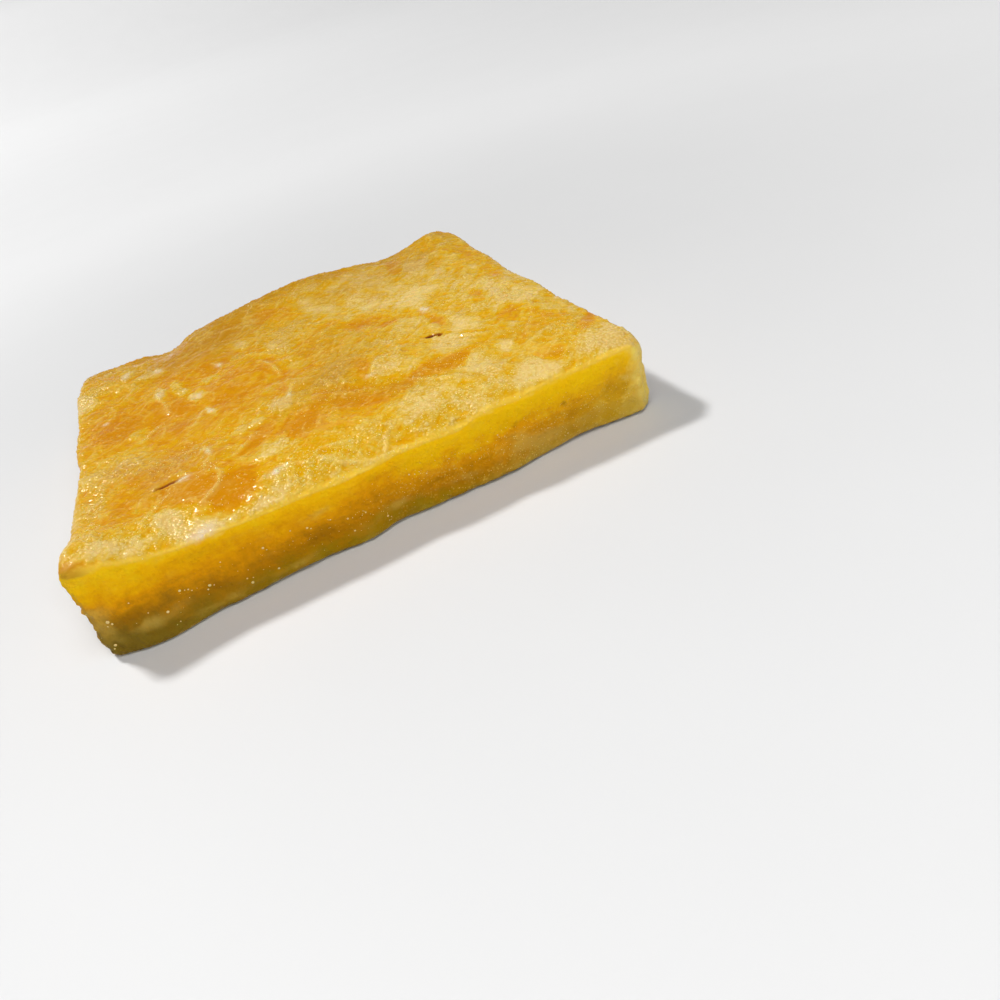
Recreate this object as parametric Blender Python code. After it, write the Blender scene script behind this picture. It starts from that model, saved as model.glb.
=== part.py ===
"""A square slab of sun-dried mango jelly, cut by hand, lying flat on its underside.

Metres, +Z up. The origin is under the middle of the slab, on the surface that it lies on.
The front cut faces -Y, and the left side faces -X.
"""

import math

import bmesh
import bpy
from mathutils import Vector, noise

MM = 0.001

# Driving sizes of the slab
SIDE_X = 100.0 * MM
SIDE_Y = 100.0 * MM
THICKNESS = 15.3 * MM

# Rounding: the sharp rim all round, and the upright corners seen from above
RIM_RADIUS = 1.3 * MM
FRONT_LEFT_CORNER = 1.6 * MM
FRONT_RIGHT_CORNER = 3.4 * MM
BACK_RIGHT_CORNER = 2.6 * MM
BACK_LEFT_CORNER = 2.4 * MM

# The block is cut into small cells, closer together beside its edges
RIM_CUTS = (0.5 * MM, 1.3 * MM, 2.8 * MM)
CELL = 2.2 * MM
UPRIGHT_CELL = 1.9 * MM

# The top falls away towards a cut edge: (fall, how far in it starts)
FRONT_SHOULDER = (2.3 * MM, 4.5 * MM)
RIGHT_SHOULDER = (1.5 * MM, 4.5 * MM)
BACK_SHOULDER = (0.4 * MM, 4.0 * MM)
LEFT_SHOULDER = (0.3 * MM, 3.0 * MM)

# Swells and hollows of the top, in millimetres: (x, y, rise, reach along x, reach along y)
TOP_SWELLS = (
    (-50, -50, 4.0, 9, 9),  # front left corner, curled up
    (48, -50, 1.1, 5, 6),  # front right corner
    (-3, -50, -0.8, 8, 6),  # slack middle of the front edge
    (14, -50, -1.0, 3, 4),  # nick in the front edge
    (-42, 50, -1.3, 12, 12),  # sunken back left corner
    (-28, 50, -2.6, 5, 9),  # notch in the back edge
    (6, 50, 1.8, 17, 15),  # swollen middle of the back edge
    (31, 50, -1.2, 6, 10),
    (46, 50, 1.4, 6, 10),
    (10, -18, 0.5, 14, 10),
    (-30, -5, -0.6, 12, 14),
    (30, 12, -0.4, 12, 16),
)

# Wander of each cut line in plan, in millimetres: (place along the side, push outwards, reach)
LEFT_WANDER = ((-48, 1.0, 4), (-12, -0.9, 8), (14, -0.4, 6), (46, -0.6, 6))
RIGHT_WANDER = ((-46, 0.6, 5), (-20, -0.5, 9), (4, -0.9, 12), (40, 0.3, 8))
FRONT_WANDER = ((-20, 0.3, 12), (30, -0.3, 12))
BACK_WANDER = ((-38, -0.5, 10), (8, 0.8, 14), (34, -0.6, 9))

# The foot of the front cut sags outwards and draws back in places, in the same terms
FRONT_FOOT = ((-41, 3.0, 8), (-27, 0.8, 6), (-6.5, 1.1, 4), (0, -0.8, 3), (19, 0.5, 5), (36, -1.3, 6))

# Whatever moves a side fades out over the slab's half width, by this power, so cells stay even
SIDE_FADE_POWER = 3
FOOT_FADE_POWER = 2

# Layers of dried pulp show at the sides as ledges, which wander up and down and break off
LEDGE_DEPTH = 0.5 * MM
LEDGE_HEIGHT = 4.2 * MM
LEDGE_WANDER = 2.0
LEDGE_WANDER_SIZE = 27.0 * MM
LEDGE_MEAN_SHARE = 0.6
LEDGE_SHARE_SPREAD = 0.8
FRONT_LEDGE_SHARE = 0.3
LUMP_DEPTH = 0.5 * MM
LUMP_SIZE = 9.0 * MM
CORNER_TURN = 4.0 * MM  # how near a corner a side's push begins to turn towards the next side

# Wrinkled skin of the top
WRINKLE_RISE = 0.5 * MM
WRINKLE_SIZE = 13.0 * MM
PUCKER_RISE = 0.28 * MM
PUCKER_SIZE = 5.5 * MM
LIP_RISE = 0.25 * MM
LIP_INSET = 1.6 * MM

# Each kind of relief reads its own part of the same noise
PUCKER_NOISE_AT = Vector((7.0, 3.0, 1.0))
LEDGE_NOISE_AT = 5.0
LUMP_NOISE_AT = 11.0

JELLY_COLOUR = (0.72, 0.38, 0.06, 1.0)
JELLY_ROUGHNESS = 0.42


def hill(distance, reach):
    """1 at the middle, fading smoothly away over about twice the reach."""
    return math.exp(-((distance / reach) ** 2))


def wander(bulges, place):
    """How far a cut line is pushed outwards at a place along its side."""
    return sum(push * hill(place / MM - at, reach) for at, push, reach in bulges) * MM


def fall(shoulder, inset):
    """How far the top has fallen at a distance in from a cut edge."""
    depth, reach = shoulder
    return depth * hill(max(inset, 0.0), reach)


def cuts(low, high, beside, cell):
    """Places to cut between two ends: close beside them, then evenly."""
    inner_low, inner_high = low + beside[-1], high - beside[-1]
    count = max(1, round((inner_high - inner_low) / cell))
    step = (inner_high - inner_low) / count
    even = [inner_low + step * i for i in range(count + 1)]
    return [low + inset for inset in beside[:-1]] + even + [high - inset for inset in beside[:-1]]


def cut_block():
    """A plain block of the slab's size, standing on z = 0, cut into cells."""
    block = bmesh.new()
    bmesh.ops.create_cube(block, size=1.0)
    for vert in block.verts:
        vert.co = Vector((vert.co.x * SIDE_X, vert.co.y * SIDE_Y, (vert.co.z + 0.5) * THICKNESS))
    planes = [((1, 0, 0), at) for at in cuts(-SIDE_X / 2, SIDE_X / 2, RIM_CUTS, CELL)]
    planes += [((0, 1, 0), at) for at in cuts(-SIDE_Y / 2, SIDE_Y / 2, RIM_CUTS, CELL)]
    planes += [((0, 0, 1), at) for at in cuts(0.0, THICKNESS, RIM_CUTS[:2], UPRIGHT_CELL)]
    for normal, at in planes:
        everything = block.verts[:] + block.edges[:] + block.faces[:]
        bmesh.ops.bisect_plane(block, geom=everything, plane_co=Vector(normal) * at, plane_no=normal)
    return block


def round_rim(point):
    """Rolls the sharp edges of the block over to the rim radius."""
    middle = Vector((0.0, 0.0, THICKNESS / 2))
    half = Vector((SIDE_X, SIDE_Y, THICKNESS)) / 2
    offset = point - middle
    inner = Vector(max(-h + RIM_RADIUS, min(h - RIM_RADIUS, o)) for o, h in zip(offset, half))
    over = offset - inner
    if not over.length:
        return point
    reach = max(abs(part) for part in over)
    return middle + inner + over.normalized() * reach


def corner_radius(point):
    """The upright corner that is nearest decides the radius."""
    if point.y < 0:
        return FRONT_LEFT_CORNER if point.x < 0 else FRONT_RIGHT_CORNER
    return BACK_LEFT_CORNER if point.x < 0 else BACK_RIGHT_CORNER


def round_corner(point):
    """Turns the square corner of each layer into a quarter circle."""
    radius = corner_radius(point)
    over_x = abs(point.x) - (SIDE_X / 2 - radius)
    over_y = abs(point.y) - (SIDE_Y / 2 - radius)
    if over_x <= 0 or over_y <= 0:
        return point
    share = max(over_x, over_y) / math.hypot(over_x, over_y)
    return Vector((
        math.copysign(SIDE_X / 2 - radius + over_x * share, point.x),
        math.copysign(SIDE_Y / 2 - radius + over_y * share, point.y),
        point.z,
    ))


def insets(point):
    """Distances in from the left, right, front and back cuts of the plain block."""
    return (
        point.x + SIDE_X / 2,
        SIDE_X / 2 - point.x,
        point.y + SIDE_Y / 2,
        SIDE_Y / 2 - point.y,
    )


def top_lift(point):
    """Rise of the top at a point: shoulders, swells, wrinkles and the lip along the cuts."""
    left, right, front, back = insets(point)
    lift = -fall(LEFT_SHOULDER, left) - fall(RIGHT_SHOULDER, right)
    lift -= fall(FRONT_SHOULDER, front) + fall(BACK_SHOULDER, back)
    for x, y, rise, reach_x, reach_y in TOP_SWELLS:
        lift += rise * MM * hill(point.x / MM - x, reach_x) * hill(point.y / MM - y, reach_y)
    flat = Vector((point.x, point.y, 0.0))
    lift += WRINKLE_RISE * noise.noise(flat / WRINKLE_SIZE)
    lift += PUCKER_RISE * noise.noise(flat / PUCKER_SIZE + PUCKER_NOISE_AT)
    edge = min(left, right, front, back)
    return lift + LIP_RISE * hill(edge - LIP_INSET, LIP_INSET)


def beyond(value, limit):
    """How far a value lies past a limit on either side of zero, with its sign."""
    return math.copysign(max(abs(value) - limit, 0.0), value)


def outward_from(point):
    """The way out of the slab from a point on a side, which turns round near a corner."""
    over_x = beyond(point.x, SIDE_X / 2 - CORNER_TURN)
    over_y = beyond(point.y, SIDE_Y / 2 - CORNER_TURN)
    return Vector((over_x, over_y, 0.0)).normalized()


def side_push(point, outward, ledge_share):
    """How far the side stands out at a point: ledges of dried layers and soft lumps."""
    along = Vector((point.x, point.y, 0.0))
    phase = point.z / LEDGE_HEIGHT + LEDGE_WANDER * noise.noise(along / LEDGE_WANDER_SIZE)
    broken = noise.noise(along / LUMP_SIZE + outward * LEDGE_NOISE_AT)
    share = ledge_share * (LEDGE_MEAN_SHARE + LEDGE_SHARE_SPREAD * broken)
    lump = noise.noise(point / LUMP_SIZE + outward * LUMP_NOISE_AT)
    return LEDGE_DEPTH * share * math.sin(2 * math.pi * phase) + LUMP_DEPTH * lump


def shape_slab(block):
    """Moves each vertex of the plain block to its place in the slab."""
    for vert in block.verts:
        plain = vert.co.copy()
        height = plain.z / THICKNESS
        left, right, front, back = insets(plain)
        on_side = min(left, right, front, back) < RIM_RADIUS
        point = round_corner(round_rim(plain))
        foot = wander(FRONT_FOOT, plain.x) * (1.0 - height) ** FOOT_FADE_POWER
        share_x = plain.x / (SIDE_X / 2)
        share_y = plain.y / (SIDE_Y / 2)
        move_x = max(share_x, 0.0) ** SIDE_FADE_POWER * wander(RIGHT_WANDER, plain.y)
        move_x -= max(-share_x, 0.0) ** SIDE_FADE_POWER * wander(LEFT_WANDER, plain.y)
        move_y = max(share_y, 0.0) ** SIDE_FADE_POWER * wander(BACK_WANDER, plain.x)
        move_y -= max(-share_y, 0.0) ** SIDE_FADE_POWER * (wander(FRONT_WANDER, plain.x) + foot)
        if on_side and 0.0 < height < 1.0:
            outward = outward_from(point)
            ledge_share = FRONT_LEDGE_SHARE if front < RIM_RADIUS else 1.0
            push = side_push(point, outward, ledge_share) * math.sqrt(math.sin(math.pi * height))
            move_x += outward.x * push
            move_y += outward.y * push
        point.x += move_x
        point.y += move_y
        point.z += top_lift(plain) * height
        vert.co = point


def centre_on_origin(block):
    """Puts the middle of the slab's outline over the origin, and its underside on z = 0."""
    xs = [vert.co.x for vert in block.verts]
    ys = [vert.co.y for vert in block.verts]
    lowest = min(vert.co.z for vert in block.verts)
    middle = Vector(((min(xs) + max(xs)) / 2, (min(ys) + max(ys)) / 2, lowest))
    for vert in block.verts:
        vert.co -= middle


def jelly_material():
    material = bpy.data.materials.new("dried_mango_jelly")
    material.use_nodes = True
    shader = material.node_tree.nodes["Principled BSDF"]
    shader.inputs["Base Color"].default_value = JELLY_COLOUR
    shader.inputs["Roughness"].default_value = JELLY_ROUGHNESS
    shader.inputs["Metallic"].default_value = 0.0
    material.diffuse_color = JELLY_COLOUR
    return material


def build_slab():
    block = cut_block()
    shape_slab(block)
    centre_on_origin(block)
    bmesh.ops.recalc_face_normals(block, faces=block.faces[:])
    mesh = bpy.data.meshes.new("mango_jelly_slab")
    block.to_mesh(mesh)
    block.free()
    mesh.shade_smooth()
    mesh.materials.append(jelly_material())
    slab = bpy.data.objects.new("mango_jelly_slab", mesh)
    bpy.context.scene.collection.objects.link(slab)
    return slab


for old in list(bpy.data.objects):
    bpy.data.objects.remove(old)
build_slab()
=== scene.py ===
"""A square slab of sun-dried mango jelly, lying on a plain pale table in soft light.

Metres, +Z up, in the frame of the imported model: the origin is under the middle of the slab,
-Y is the way out of its front cut, and +X runs towards the right-hand end of that cut.
"""

import math
import random

import bpy
import numpy as np
from mathutils import Euler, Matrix, Quaternion, Vector, noise
from mathutils.bvhtree import BVHTree


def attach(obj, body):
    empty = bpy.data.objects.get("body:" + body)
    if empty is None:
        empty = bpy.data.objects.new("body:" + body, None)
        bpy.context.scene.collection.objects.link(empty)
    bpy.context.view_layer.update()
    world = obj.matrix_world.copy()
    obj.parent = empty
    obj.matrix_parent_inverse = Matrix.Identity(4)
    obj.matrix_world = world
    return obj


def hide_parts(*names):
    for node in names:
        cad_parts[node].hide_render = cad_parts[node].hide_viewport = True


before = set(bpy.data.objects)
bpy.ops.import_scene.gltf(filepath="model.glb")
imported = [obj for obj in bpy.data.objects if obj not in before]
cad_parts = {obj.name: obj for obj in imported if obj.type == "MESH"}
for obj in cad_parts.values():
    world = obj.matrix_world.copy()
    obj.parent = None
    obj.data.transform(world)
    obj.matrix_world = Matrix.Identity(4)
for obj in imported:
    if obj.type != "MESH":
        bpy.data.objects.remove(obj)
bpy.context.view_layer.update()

MM = 0.001


# The camera
# It looks down on the slab from close by, past its front left corner, at a slant.
# The slab lies flat here but was seen at a lean, so the camera is rolled to take that up.

CAMERA_PLACE = Vector((-12.28, -175.61, 79.10)) * MM
CAMERA_AIM = Vector((13.10, -67.35, 8.00)) * MM
CAMERA_ROLL = math.radians(-17.86)
CAMERA_SENSOR = 36.0
CAMERA_LENS = 31.58
CAMERA_NEAR = 10 * MM

bpy.ops.object.select_all(action="DESELECT")
bpy.ops.object.camera_add(location=CAMERA_PLACE)
camera = bpy.context.active_object
camera.name = "camera"
camera.rotation_mode = "QUATERNION"
towards_aim = (CAMERA_AIM - CAMERA_PLACE).to_track_quat("-Z", "Y")
camera.rotation_quaternion = towards_aim @ Quaternion((0.0, 0.0, 1.0), CAMERA_ROLL)
camera.data.sensor_width = CAMERA_SENSOR
camera.data.lens = CAMERA_LENS
camera.data.clip_start = CAMERA_NEAR
bpy.context.scene.camera = camera
bpy.context.scene.view_settings.view_transform = "Standard"


# The light
# A key from behind on the left picks out the wrinkles of the top, a wide soft box hangs over
# the near side, and a weak fill stands in front, so that the cut is half as bright as the top.

LIGHTS = {
    # name: (place, width, power in watts)
    "key": ((-1.02, 1.56, 2.16), 0.30, 69.0),
    "overhead": ((0.03, -0.21, 0.42), 0.26, 0.98),
    "fill": ((0.25, -0.90, 0.55), 0.20, 3.3),
}
WORLD_COLOUR = (1.0, 1.0, 1.0, 1.0)
WORLD_STRENGTH = 0.05

for light_name, (place, width, power) in LIGHTS.items():
    bpy.ops.object.light_add(type="AREA", location=place)
    light = bpy.context.active_object
    light.name = light_name
    light.data.size = width
    light.data.energy = power
    light.rotation_euler = (-Vector(place)).to_track_quat("-Z", "Y").to_euler()

world = bpy.data.worlds.new("soft_room")
world.use_nodes = True
world.node_tree.nodes["Background"].inputs["Color"].default_value = WORLD_COLOUR
world.node_tree.nodes["Background"].inputs["Strength"].default_value = WORLD_STRENGTH
bpy.context.scene.world = world


# The table
# A plain pale sheet of board under the slab. It curves up into a wall all round,
# as a photographer's sweep does, so that it ends nowhere in sight from any side.

TABLE_RADIUS = 1.60
TABLE_SIDES = 96
SWEEP_RADIUS = 0.80
SWEEP_STEPS = 10
SWEEP_SMOOTH_ANGLE = math.radians(30)
TABLE_GAP = 0.05 * MM
TABLE_PALE = (0.66, 0.66, 0.66, 1.0)
TABLE_SHADE = (0.64, 0.64, 0.64, 1.0)
TABLE_MOTTLE = 50 * MM
# The far board glows a little, so that it doesn't fall into the dark, and the wall above it turns
# grey, so that the wet top mirrors less of it. Each starts and is full at a distance or a height.
BOARD_DARK = (0.0, 0.0, 0.0, 1.0)
BOARD_GLOW = (0.20, 0.20, 0.20, 1.0)
GLOW_DISTANCES = (0.06, 0.34)
GLOW_FADE_HEIGHTS = (0.16, 0.30)
WALL_GREY = (0.13, 0.13, 0.13, 1.0)
WALL_GREY_HEIGHTS = (0.16, 0.42)


class Wire:
    """A socket in a material. Arithmetic on wires adds Math nodes, and `node` adds any other."""

    def __init__(self, tree, socket=None):
        self.tree = tree
        self.socket = socket

    def node(self, kind, settings, sockets, output=0):
        """Adds a node: its settings first, then the values or wires of its sockets."""
        new = self.tree.nodes.new(kind)
        for name, value in settings.items():
            if name == "stops":
                set_stops(new.color_ramp, value)
            else:
                setattr(new, name, value)
        for name, value in sockets.items():
            if isinstance(value, Wire):
                self.tree.links.new(value.socket, new.inputs[name])
            else:
                new.inputs[name].default_value = value
        return Wire(self.tree, new.outputs[output])

    def maths(self, operation, first, second):
        return self.node("ShaderNodeMath", {"operation": operation}, {0: first, 1: second})

    def __add__(self, other):
        return self.maths("ADD", self, other)

    def __radd__(self, other):
        return self.maths("ADD", other, self)

    def __sub__(self, other):
        return self.maths("SUBTRACT", self, other)

    def __rsub__(self, other):
        return self.maths("SUBTRACT", other, self)

    def __mul__(self, other):
        return self.maths("MULTIPLY", self, other)

    def __rmul__(self, other):
        return self.maths("MULTIPLY", other, self)

    def step(self, low, high):
        """0 below low, 1 above high, and smooth between them."""
        return self.node(
            "ShaderNodeMapRange", {"interpolation_type": "SMOOTHSTEP"}, {"Value": self, 1: low, 2: high}
        )

    def blend(self, low, high):
        """A colour that turns from low to high as this wire goes from 0 to 1."""
        return self.node("ShaderNodeMix", {"data_type": "RGBA"}, {0: self, 6: low, 7: high}, 2)

    def ramp(self, stops):
        """A colour read from stops of (position, colour)."""
        return self.node("ShaderNodeValToRGB", {"stops": stops}, {"Fac": self})

    def part(self, axis):
        """One coordinate of a place."""
        return self.node("ShaderNodeSeparateXYZ", {}, {"Vector": self}, axis)

    def scaled(self, scale):
        """A place whose coordinates are each multiplied by a number of their own."""
        return self.node("ShaderNodeVectorMath", {"operation": "MULTIPLY"}, {0: self, 1: scale})

    def grain(self, size, detail=2.0, roughness=0.5):
        """Noise from 0 to 1 whose lumps are about size metres across; the wire is a place."""
        sockets = {"Vector": self, "Scale": 1 / size, "Detail": detail, "Roughness": roughness}
        return self.node("ShaderNodeTexNoise", {}, sockets)


def set_stops(ramp, stops):
    """Gives a colour ramp its stops, in order."""
    while len(ramp.elements) < len(stops):
        ramp.elements.new(1.0)
    for element, (position, colour) in zip(ramp.elements, stops):
        element.position = position
        element.color = (*colour, 1.0)


def new_finish(name, **constants):
    """A material, its shader with constant sockets set, and the object's own coordinates."""
    material = bpy.data.materials.new(name)
    material.use_nodes = True
    shader = material.node_tree.nodes["Principled BSDF"]
    for socket, value in constants.items():
        shader.inputs[socket.replace("_", " ")].default_value = value
    start = Wire(material.node_tree)
    place = start.node("ShaderNodeTexCoord", {}, {}, "Object")
    return material, shader, place


def feed(shader, socket, wire):
    """Leads a wire into one of a shader's sockets."""
    wire.tree.links.new(wire.socket, shader.inputs[socket])


bpy.ops.object.select_all(action="DESELECT")
bpy.ops.mesh.primitive_circle_add(
    vertices=TABLE_SIDES, radius=TABLE_RADIUS, fill_type="NOTHING", location=(0.0, 0.0, -TABLE_GAP)
)
table = bpy.context.active_object
table.name = "table"
bpy.ops.object.mode_set(mode="EDIT")
reach, height = TABLE_RADIUS, 0.0
for step in range(1, SWEEP_STEPS + 1):
    turn = math.pi / 2 * step / SWEEP_STEPS
    next_reach = TABLE_RADIUS + SWEEP_RADIUS * math.sin(turn)
    next_height = SWEEP_RADIUS * (1 - math.cos(turn))
    bpy.ops.mesh.extrude_edges_move(TRANSFORM_OT_translate={"value": (0, 0, next_height - height)})
    bpy.ops.transform.resize(value=(next_reach / reach, next_reach / reach, 1.0))
    reach, height = next_reach, next_height
bpy.ops.mesh.select_all(action="DESELECT")
bpy.ops.object.mode_set(mode="OBJECT")
for vertex in table.data.vertices:
    vertex.select = vertex.co.to_2d().length < TABLE_RADIUS + MM
bpy.ops.object.mode_set(mode="EDIT")
bpy.ops.mesh.edge_face_add()
bpy.ops.object.mode_set(mode="OBJECT")
bpy.ops.object.transform_apply(location=True, rotation=True, scale=True)
bpy.ops.object.shade_smooth_by_angle(angle=SWEEP_SMOOTH_ANGLE)

table_finish, table_shader, table_place = new_finish("pale_board", Roughness=0.62, Emission_Strength=1.0)
far = table_place.node("ShaderNodeVectorMath", {"operation": "LENGTH"}, {0: table_place}, "Value")
table_height = table_place.part("Z")
pale = table_place.grain(TABLE_MOTTLE).blend(TABLE_SHADE, TABLE_PALE)
feed(table_shader, "Base Color", table_height.step(*WALL_GREY_HEIGHTS).blend(pale, WALL_GREY))
glow = far.step(*GLOW_DISTANCES) * (1 - table_height.step(*GLOW_FADE_HEIGHTS))
feed(table_shader, "Emission Color", glow.blend(BOARD_DARK, BOARD_GLOW))
table.data.materials.append(table_finish)


# The slab
# Mango pulp, spread and dried in the sun one layer on another until it sets to a firm jelly,
# then cut square with a knife. The top is its dried skin, a pale film over amber jelly, crinkled as
# it shrank. The front cut is fresh and clear, and the other sides are older, grainy and layered.

# The mesh: the size of its even cells, how it is eased and how many triangles it keeps, and the
# distances within which corners are one, or lie on the underside
VOXEL = 0.34 * MM
SMOOTHING_PASSES = 2
SMOOTHING_SHARE = 0.5
KEPT_TRIANGLES = 192000
MERGE = 0.001 * MM
BED_HEIGHT = 0.02 * MM

# Share of film where there is no mark, how much a patch adds to it, and how wide its edge is
FILM_LEVEL = 0.47
PATCH_GAIN = 1.40
PATCH_EDGE = 0.55
# Marks of the top, in millimetres: (x, y, reach, reach across, turn in degrees, strength).
# The dried film is pale and the bare jelly under it amber. Washes are broad and soft.
FILM_WASHES = (
    (28, 14, 22, 30, 0, 0.19), (44, -8, 9, 18, 0, 0.18), (14, -44, 36, 6, 0, 0.24),
    (6, 38, 24, 12, 0, 0.18), (-41, -15, 9, 6, 20, 0.30), (-45, -42, 4, 7, 0, 0.20),
    (-9, -17, 5, 4, -30, 0.22), (4, -11, 7, 6, 45, 0.22), (30, -17, 8, 6, 0, 0.14),
    (-26, 2, 20, 17, 0, -0.34), (-40, 8, 9, 18, 0, -0.10), (0, -1, 9, 8, 0, -0.20),
    (-21, 27, 9, 16, 0, -0.26), (-13, 36, 4, 6, 0, -0.22), (-5, -29, 10, 8, 0, -0.30),
    (-30, -33, 9, 9, 0, -0.18), (-22, -40, 5, 6, 30, -0.30), (2, 36, 5, 6, 0, -0.22),
    (-44, 12, 5, 9, 0, -0.16), (14, 6, 7, 5, 0, -0.20), (-41, 38, 3, 6, 0, -0.18),
    (46, 22, 2.5, 8, 10, -0.2), (20, -30, 8, 3, 20, -0.2), (3, -47, 6, 1.6, 0, -0.2),
    (38, -19, 4, 5, 0, -0.18), (-50, -49, 3, 3, 0, -0.45), (-51, -8, 2.0, 50, 0, 0.40),
    (51, -50, 3.5, 5, 0, 0.40), (-51, -34, 2.4, 10, 0, 0.35), (-20, 38, 14, 9, 0, -0.26),
    (-28, -20, 4, 4, 0, -0.22), (-34, -30, 10, 8, 0, -0.10), (28, -38, 4, 4, 0, -0.12),
    (0, -20, 5, 4, 0, -0.12),
)
# Patches have a ragged but clear edge; those with a minus are bare
FILM_PATCHES = (
    (-48, 26, 2.5, 5, 0, 0.42), (-32, 29.5, 2.8, 2.4, 0, 0.52), (-38, 35, 1.4, 3.2, 0, 0.45),
    (-27, 13, 1.6, 4.8, 10, 0.45), (-24, 5, 2.1, 2.0, 0, 0.50), (-21, 11.5, 3.0, 2.6, 0, 0.36),
    (-36, -2, 2.0, 2.4, 0, 0.34), (-22.5, -4.5, 0.9, 2.8, 10, 0.50), (-34, -43, 2.0, 3.2, 10, 0.55),
    (-18, -20.5, 4, 2.6, 0, 0.20), (-10, -17, 3.2, 2.8, -30, 0.32), (-14, -34, 3.6, 3, 0, 0.32),
    (-29, -48, 4.2, 2.6, 10, 0.45), (12, -22.5, 3.0, 5, 30, 0.28), (24, -22, 3.4, 5, 20, 0.25),
    (30, -17, 3, 3, 0, 0.26), (25, -36, 3.2, 5.2, 20, 0.34), (13, -38, 4.6, 5, 30, 0.28),
    (31, -33, 2, 2, 0, 0.32), (31, -45, 4, 3, 0, 0.30), (45, -44, 4, 5, 0, 0.34),
    (27, 11, 4, 6, 0, 0.22), (41, -12, 5, 4, 0, 0.22), (-31, 14, 1, 4, 0, 0.35),
    (-5, 12, 3, 5, 10, 0.22), (8, 28, 3, 8, 5, 0.20), (-45, -27, 2, 4, -30, 0.22),
    (-42, -46, 5, 2, 0, 0.28), (-18, -47, 5, 1.6, 8, 0.26), (17, 20, 3, 6, 10, 0.20),
    (34, 30, 3, 5, 0, 0.22), (-12, 25, 1.6, 4, 10, 0.26), (-3, 2, 2, 4, 20, 0.24),
    (-30, -36, 3.6, 5, 30, -0.24), (-23, -41, 4.0, 4.6, 30, -0.32), (5, -29, 4, 8, 45, -0.22),
    (7, -16, 1.6, 3.8, 0, -0.30), (14, -30, 1.3, 6, -50, -0.34), (20, -31, 4, 2.6, 0, -0.24),
    (35, -43, 2.2, 2.2, 0, -0.4), (46.5, -36, 1.4, 6, -35, -0.30), (38, -19, 2.2, 4, -20, -0.26),
    (26, -8, 1.2, 5, 10, -0.34), (37, -2, 1.6, 3.4, -10, -0.30), (38, 28, 2.2, 3.6, 0, -0.28),
    (30, 37, 2.0, 6, -10, -0.34), (14, 8, 4, 3.6, 0, -0.22), (18, 2, 1.8, 2, 0, -0.32),
    (28, -20, 1.0, 3, 38, -0.25), (-35, -25, 5, 4, 0, -0.22), (-5, 37, 3, 4, 0, -0.26),
    (-8, -31, 3.4, 4.2, 30, -0.24), (-42, 3, 2, 5, 0, -0.20), (10, 33, 2, 5, -10, -0.24),
    (45, 4, 1.6, 5, -15, -0.26), (-15, -26, 2, 5, -40, -0.24), (-42, -36, 2, 5, -35, -0.26),
)
# Where the skin is drawn smooth, with few crinkles
SMOOTH_SPOTS = (
    (-34, -43, 2.4, 3.4, 10, 0.85), (-50, -50, 4, 4, 0, 0.8), (14, 32, 34, 17, 0, 0.55),
    (-25, -9, 12, 9, 0, 0.7), (-30, -36, 4, 5, 30, 0.5), (-23, -41, 4, 5, 30, 0.4),
    (-33, 3, 6, 6, 0, 0.5), (-13, 1, 7, 9, 0, 0.6), (-20, 25, 8, 12, 0, 0.4),
)
# Where the left corner and edge have dried dull and brown
DULL_SPOTS = (
    (-50.5, -50.5, 5.6, 4.6, 0, 1.15), (-51, -30, 2.6, 16, 0, 0.6),
)
# Where the skin has drawn together into fine parallel wrinkles, which tan it pinkish
WRINKLED_SPOTS = (
    (-40, -18, 10, 7, 20, 0.9), (-31, -22, 6, 4, 0, 0.8), (4, -12, 8, 7, 45, 0.8),
    (-46, -32, 4, 10, 0, 0.5), (-44, 41, 5, 9, 0, 0.6), (20, 32, 16, 14, 0, 0.35),
    (-4, 44, 12, 5, 0, 0.4),
)
# Dark scars: a slit on the left and a bruise on the right, with a few brown threads
SCARS = (
    (-33, -30.9, 2.6, 0.55, 3, 1.0), (-42, -25, 0.5, 1.6, 20, 0.35), (-31.2, -16, 0.4, 1.2, 20, 0.3),
    (22.1, -14.8, 1.05, 0.8, -20, 1.7), (23.8, -15.9, 0.8, 0.7, -40, 0.9),
    (30.8, -23.4, 0.6, 0.8, 0, 0.35), (31.4, -36, 1.2, 0.35, -40, 0.35),
    (-26, -43.6, 2.2, 0.25, -42, 0.4), (-34, -19.8, 2.4, 0.25, 30, 0.3),
    (-47, -24, 2.2, 0.3, -40, 0.22),
)
# Dots of white sugar bloom where the film has lifted; their white is partly the bloom's own and partly
# painted highlight where the top glints
BLOOM_AND_GLINT_SPOTS = (
    (-29.9, -31.4, 0.9, 0.8, 0, 1.0), (-15.2, -41.9, 1.4, 0.65, 10, 1.0),
    (-29.4, -48.2, 2.1, 1.0, 20, 1.0), (-31.0, 29.6, 0.9, 1.6, 0, 0.7), (-38.2, 34.5, 0.7, 2.2, 0, 0.6),
    (-24.0, 4.6, 1.2, 1.2, 0, 0.5), (-22.5, -4.4, 0.5, 1.8, 12, 0.7), (26.0, 0.9, 0.7, 1.6, 0, 1.2),
    (-31.2, 13.0, 0.6, 1.6, 0, 0.6), (-17.8, 18.0, 0.9, 1.0, 0, 0.5), (7.4, -21.8, 0.6, 0.8, 30, 0.6),
    (-43.4, 9.8, 0.6, 0.6, 0, 0.6), (-24.9, -24.2, 0.5, 1.4, 10, 0.5), (-7.4, -15.8, 0.5, 0.7, 0, 0.5),
)
# Where the skin is older and browner; the long wash along the back edge is painted shade, darkening the
# far edge
TAWNY_AND_SHADE_WASHES = (
    (0, -14, 14, 9, 35, 0.62), (4, 4, 12, 10, 0, 0.36), (-18, 36, 15, 11, 0, 0.95),
    (0, 50, 60, 7, 0, 1.0), (14, 33, 16, 9, 0, 0.36), (34, 38, 9, 9, 0, 0.50),
    (12, -30, 12, 5, -10, 0.44), (-33, -29, 9, 5, 20, 0.30), (38, -30, 8, 3, 0, 0.42),
    (-5, 20, 12, 8, 0, 0.25), (-30, 30, 5, 8, 0, 0.45),
)
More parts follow.
